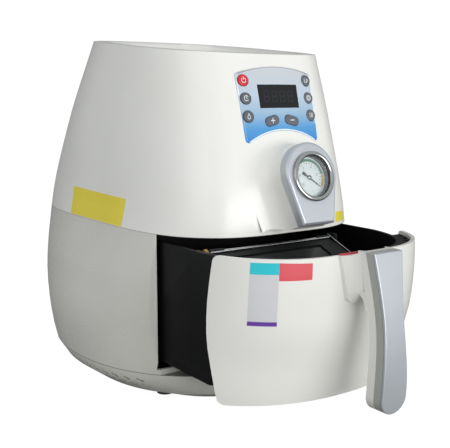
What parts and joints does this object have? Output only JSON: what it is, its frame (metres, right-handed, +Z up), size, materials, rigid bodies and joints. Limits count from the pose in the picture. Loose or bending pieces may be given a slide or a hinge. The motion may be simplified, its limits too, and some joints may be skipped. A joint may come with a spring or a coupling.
{
  "type": "3d vacuum sublimation machine",
  "caption": "Desk-top vacuum heat press for sublimation: egg-shaped moulded housing, pull-out heated drawer with film frame, vacuum gauge and keypad",
  "frame": {"origin": "on the floor under the middle of the machine's box, with the drawer drawn out as at rest", "axes": "+Z up, -Y towards the drawer and the keypad, +X to the viewer's right from the front"},
  "size_m": [0.2681, 0.4583, 0.3346],
  "materials": {
    "shell": "glossy warm-white moulded ABS",
    "housing": "satin white moulded ABS",
    "panel_film": "printed polyester keypad film",
    "window": "smoked acrylic display window",
    "silver": "silver lacquer",
    "grey_band": "grey moulded ABS",
    "bezel_chrome": "chromed brass",
    "lens": "clear flat glass",
    "dial": "printed white enamel",
    "needle": "black lacquer",
    "brass": "turned brass",
    "black_steel": "black powder coat",
    "bright_steel": "bright stainless steel",
    "zinc": "zinc-plated steel",
    "aluminium_plate": "machined aluminium",
    "pan_black": "matt black heat-proof nylon",
    "black_plastic": "black moulded nylon",
    "nylon": "natural nylon",
    "board": "green solder mask",
    "quartz": "quartz glass",
    "ceramic": "unglazed steatite",
    "hose": "black silicone hose",
    "foot_rubber": "black rubber",
    "silicone": "translucent silicone sheet",
    "gasket_red": "red silicone sponge",
    "release_red": "red moulded ABS",
    "key_grey": "dark grey moulded ABS",
    "key_red": "red moulded ABS"
  },
  "bodies": {
    "housing": {"upper_shell": "shell", "lower_housing": "housing", "base_tray": "housing", "rubber_feet": "foot_rubber", "base_screws": "zinc", "brow_plate": "black_steel", "control_panel": "panel_film", "display_module": "window", "control_board": "board", "board_spacers": "nylon", "gauge_plate": "silver", "gauge_case": "black_steel", "gauge_bezel": "bezel_chrome", "gauge_lens": "lens", "gauge_dial": "dial", "gauge_fitting": "brass", "drawer_liner": "black_steel", "runners": "nylon", "heater_hood": "bright_steel", "heater_tubes": "quartz", "tube_holders": "ceramic", "temperature_probe": "zinc", "fan_motor": "zinc", "vacuum_pump": "zinc", "pump_head": "black_plastic", "pump_cradle": "zinc", "solenoid_valve": "black_plastic", "pump_hose": "hose", "socket_hose": "hose", "gauge_hose": "hose", "vacuum_socket": "foot_rubber", "power_board": "board", "power_inlet": "black_plastic", "switch_frame": "black_plastic"},
    "drawer": {"drawer_front": "housing", "drawer_pan": "pan_black", "handle_core": "shell", "handle_band": "grey_band", "handle_plate": "silver", "hinge_rod": "bright_steel", "rod_brackets": "black_steel", "rod_nut": "brass", "platen": "aluminium_plate", "platen_gasket": "gasket_red", "suction_line": "hose", "vacuum_nozzle": "brass"},
    "film_frame": {"film_frame": "black_steel", "membrane": "silicone"},
    "release": {"release_button": "release_red"},
    "needle": {"pointer": "needle"},
    "fan": {"fan_impeller": "bright_steel"},
    "rocker": {"switch_rocker": "black_plastic"},
    "key_power_body": {"key_power": "key_red"},
    "key_left_upper_body": {"key_left_upper": "key_grey"},
    "key_left_lower_body": {"key_left_lower": "key_grey"},
    "key_right_top_body": {"key_right_top": "key_grey"},
    "key_right_upper_body": {"key_right_upper": "key_grey"},
    "key_right_lower_body": {"key_right_lower": "key_grey"},
    "key_plus_body": {"key_plus": "key_grey"},
    "key_minus_body": {"key_minus": "key_grey"}
  },
  "joints": [
    {"name": "drawer_slide", "type": "slide", "parent": "housing", "child": "drawer", "axis": [0, -1, 0], "range_m": [-0.087, 0.093]},
    {"name": "film_frame_hinge", "type": "hinge", "parent": "drawer", "child": "film_frame", "pos_m": [0, -0.1035, 0.154], "axis": [-1, 0, 0], "range_deg": [0, 20]},
    {"name": "release_press", "type": "slide", "parent": "drawer", "child": "release", "axis": [0, 0, -1], "range_m": [0, 0.002], "stiffness_N_per_m": 600},
    {"name": "gauge_needle", "type": "hinge", "parent": "housing", "child": "needle", "pos_m": [0, -0.13, 0.213], "axis": [0, -0.9659, 0.2588], "range_deg": [0, 270]},
    {"name": "fan_spin", "type": "hinge", "parent": "housing", "child": "fan", "pos_m": [0, 0.032, 0.203], "axis": [0, 0, 1], "continuous": true},
    {"name": "mains_switch", "type": "hinge", "parent": "housing", "child": "rocker", "pos_m": [0.026, 0.2, 0.073], "axis": [1, 0, 0], "range_deg": [0, 18]},
    {"name": "key_power_press", "type": "slide", "parent": "housing", "child": "key_power_body", "axis": [0, 0.9759, -0.2181], "range_m": [0, 0.0008], "stiffness_N_per_m": 900},
    {"name": "key_left_upper_press", "type": "slide", "parent": "housing", "child": "key_left_upper_body", "axis": [0, 0.9759, -0.2181], "range_m": [0, 0.0008], "stiffness_N_per_m": 900},
    {"name": "key_left_lower_press", "type": "slide", "parent": "housing", "child": "key_left_lower_body", "axis": [0, 0.9759, -0.2181], "range_m": [0, 0.0008], "stiffness_N_per_m": 900},
    {"name": "key_right_top_press", "type": "slide", "parent": "housing", "child": "key_right_top_body", "axis": [0, 0.9759, -0.2181], "range_m": [0, 0.0008], "stiffness_N_per_m": 900},
    {"name": "key_right_upper_press", "type": "slide", "parent": "housing", "child": "key_right_upper_body", "axis": [0, 0.9759, -0.2181], "range_m": [0, 0.0008], "stiffness_N_per_m": 900},
    {"name": "key_right_lower_press", "type": "slide", "parent": "housing", "child": "key_right_lower_body", "axis": [0, 0.9759, -0.2181], "range_m": [0, 0.0008], "stiffness_N_per_m": 900},
    {"name": "key_plus_press", "type": "slide", "parent": "housing", "child": "key_plus_body", "axis": [0, 0.9759, -0.2181], "range_m": [0, 0.0008], "stiffness_N_per_m": 900},
    {"name": "key_minus_press", "type": "slide", "parent": "housing", "child": "key_minus_body", "axis": [0, 0.9759, -0.2181], "range_m": [0, 0.0008], "stiffness_N_per_m": 900}
  ]
}
